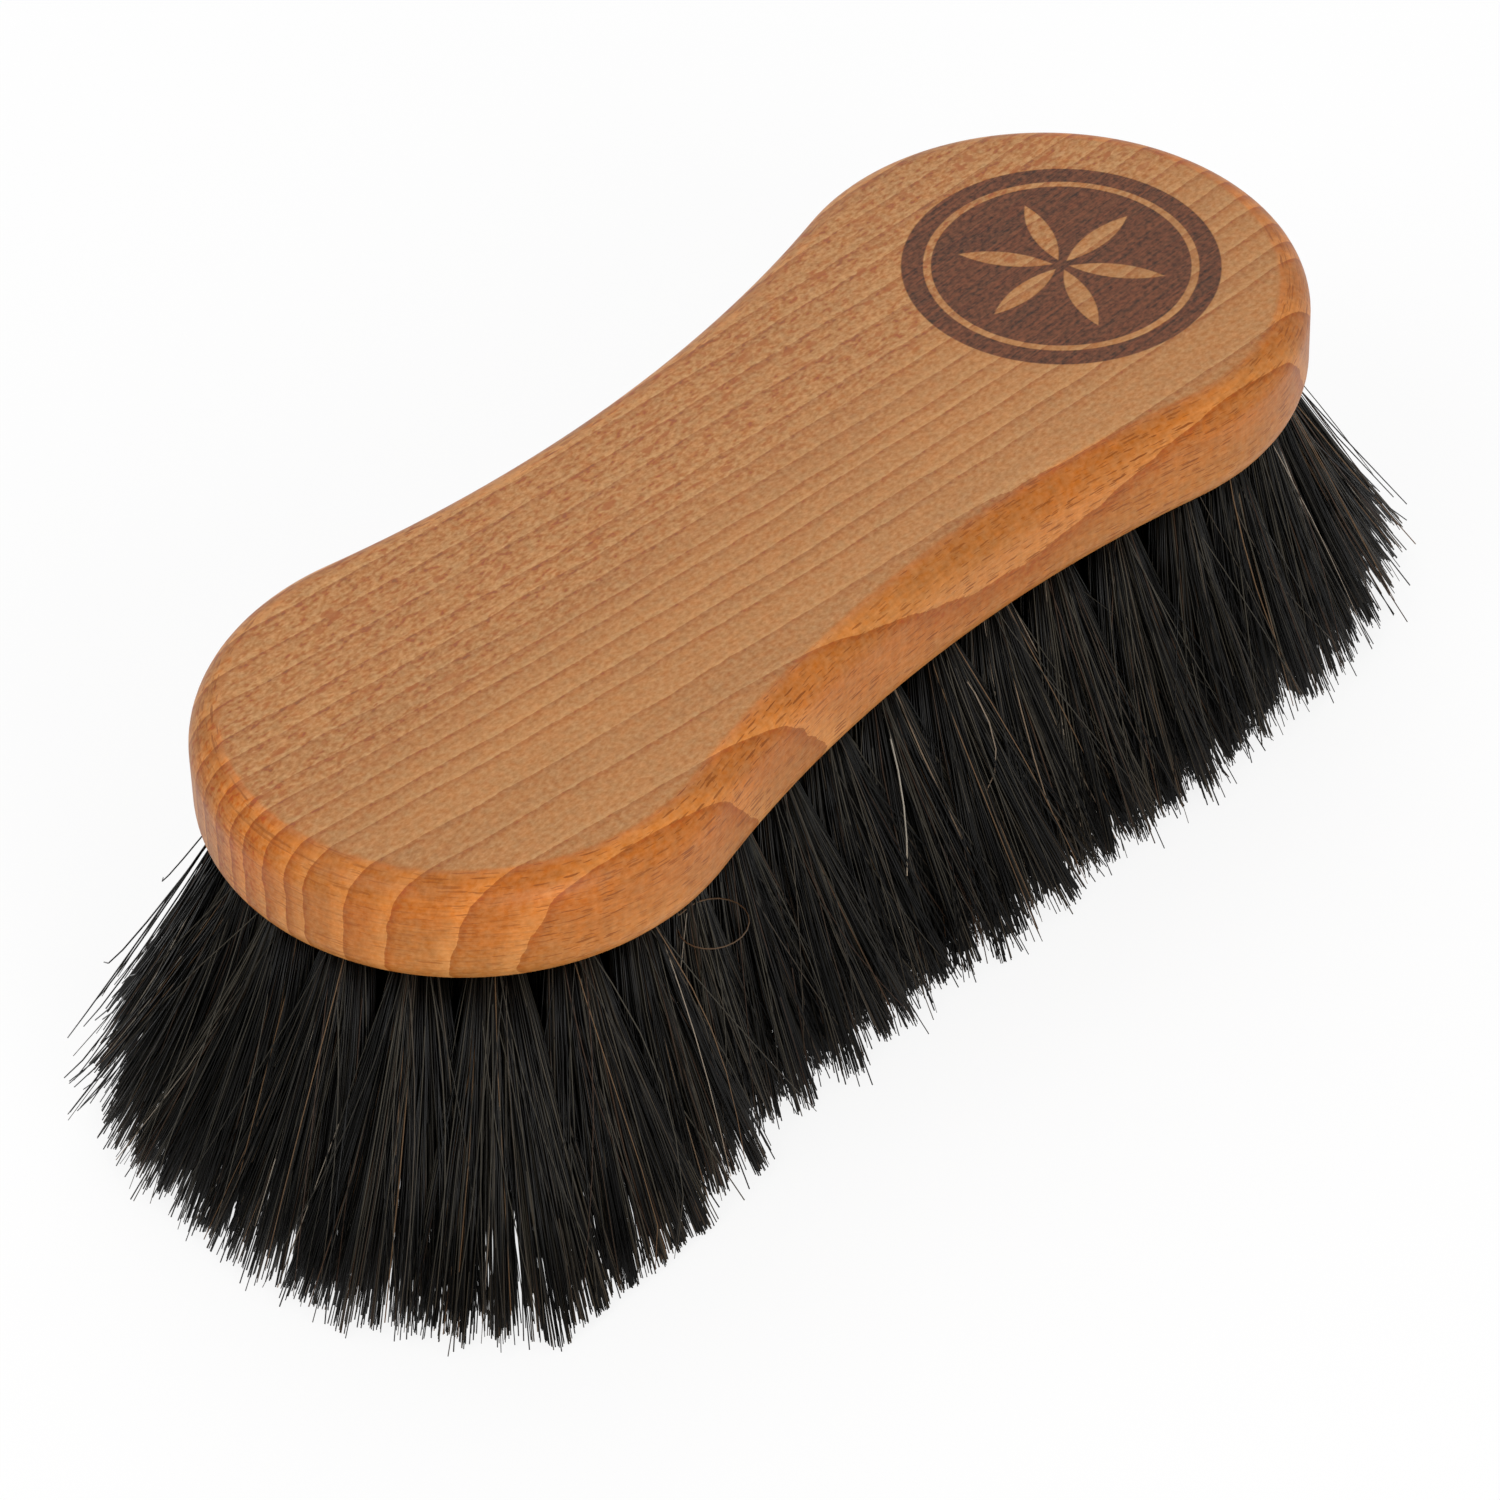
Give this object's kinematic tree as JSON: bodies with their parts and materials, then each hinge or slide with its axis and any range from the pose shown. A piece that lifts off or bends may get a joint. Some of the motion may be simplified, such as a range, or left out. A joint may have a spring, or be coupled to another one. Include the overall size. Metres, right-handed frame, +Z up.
{
  "type": "grooming brush",
  "caption": "Waisted beech brush block with rounded edges and a full field of long dark horsehair tufts, stapled into blind holes from below.",
  "frame": {"origin": "under the middle of the block, on the plane of the trimmed hair tips", "axes": "+X along the block towards the lobe with the burnt disc, +Y across it, +Z up from the hair to the block's flat top"},
  "size_m": [0.2332, 0.096, 0.062],
  "materials": {
    "beech": "oiled beech, satin",
    "horsehair": "natural black horsehair, soft sheen",
    "staple_wire": "drawn steel wire"
  },
  "bodies": {
    "root": {"block": "beech", "outer_row_bristles": "horsehair", "second_row_bristles": "horsehair", "centre_bristles": "horsehair", "outer_staple_01": "staple_wire", "outer_staple_02": "staple_wire", "outer_staple_03": "staple_wire", "outer_staple_04": "staple_wire", "outer_staple_05": "staple_wire", "outer_staple_06": "staple_wire", "outer_staple_07": "staple_wire", "outer_staple_08": "staple_wire", "outer_staple_09": "staple_wire", "outer_staple_10": "staple_wire", "outer_staple_11": "staple_wire", "outer_staple_12": "staple_wire", "outer_staple_13": "staple_wire", "outer_staple_14": "staple_wire", "outer_staple_15": "staple_wire", "outer_staple_16": "staple_wire", "outer_staple_17": "staple_wire", "outer_staple_18": "staple_wire", "outer_staple_19": "staple_wire", "outer_staple_20": "staple_wire", "outer_staple_21": "staple_wire", "outer_staple_22": "staple_wire", "outer_staple_23": "staple_wire", "outer_staple_24": "staple_wire", "outer_staple_25": "staple_wire", "outer_staple_26": "staple_wire", "outer_staple_27": "staple_wire", "outer_staple_28": "staple_wire", "outer_staple_29": "staple_wire", "outer_staple_30": "staple_wire", "outer_staple_31": "staple_wire", "outer_staple_32": "staple_wire", "outer_staple_33": "staple_wire", "outer_staple_34": "staple_wire", "outer_staple_35": "staple_wire", "outer_staple_36": "staple_wire", "outer_staple_37": "staple_wire", "outer_staple_38": "staple_wire", "outer_staple_39": "staple_wire", "outer_staple_40": "staple_wire", "centre_staple_01": "staple_wire", "centre_staple_02": "staple_wire", "centre_staple_03": "staple_wire", "centre_staple_04": "staple_wire", "centre_staple_05": "staple_wire", "centre_staple_06": "staple_wire", "centre_staple_07": "staple_wire", "centre_staple_08": "staple_wire", "centre_staple_09": "staple_wire", "centre_staple_10": "staple_wire", "centre_staple_11": "staple_wire", "centre_staple_12": "staple_wire", "centre_staple_13": "staple_wire", "centre_staple_14": "staple_wire", "centre_staple_15": "staple_wire", "centre_staple_16": "staple_wire"}
  },
  "joints": []
}
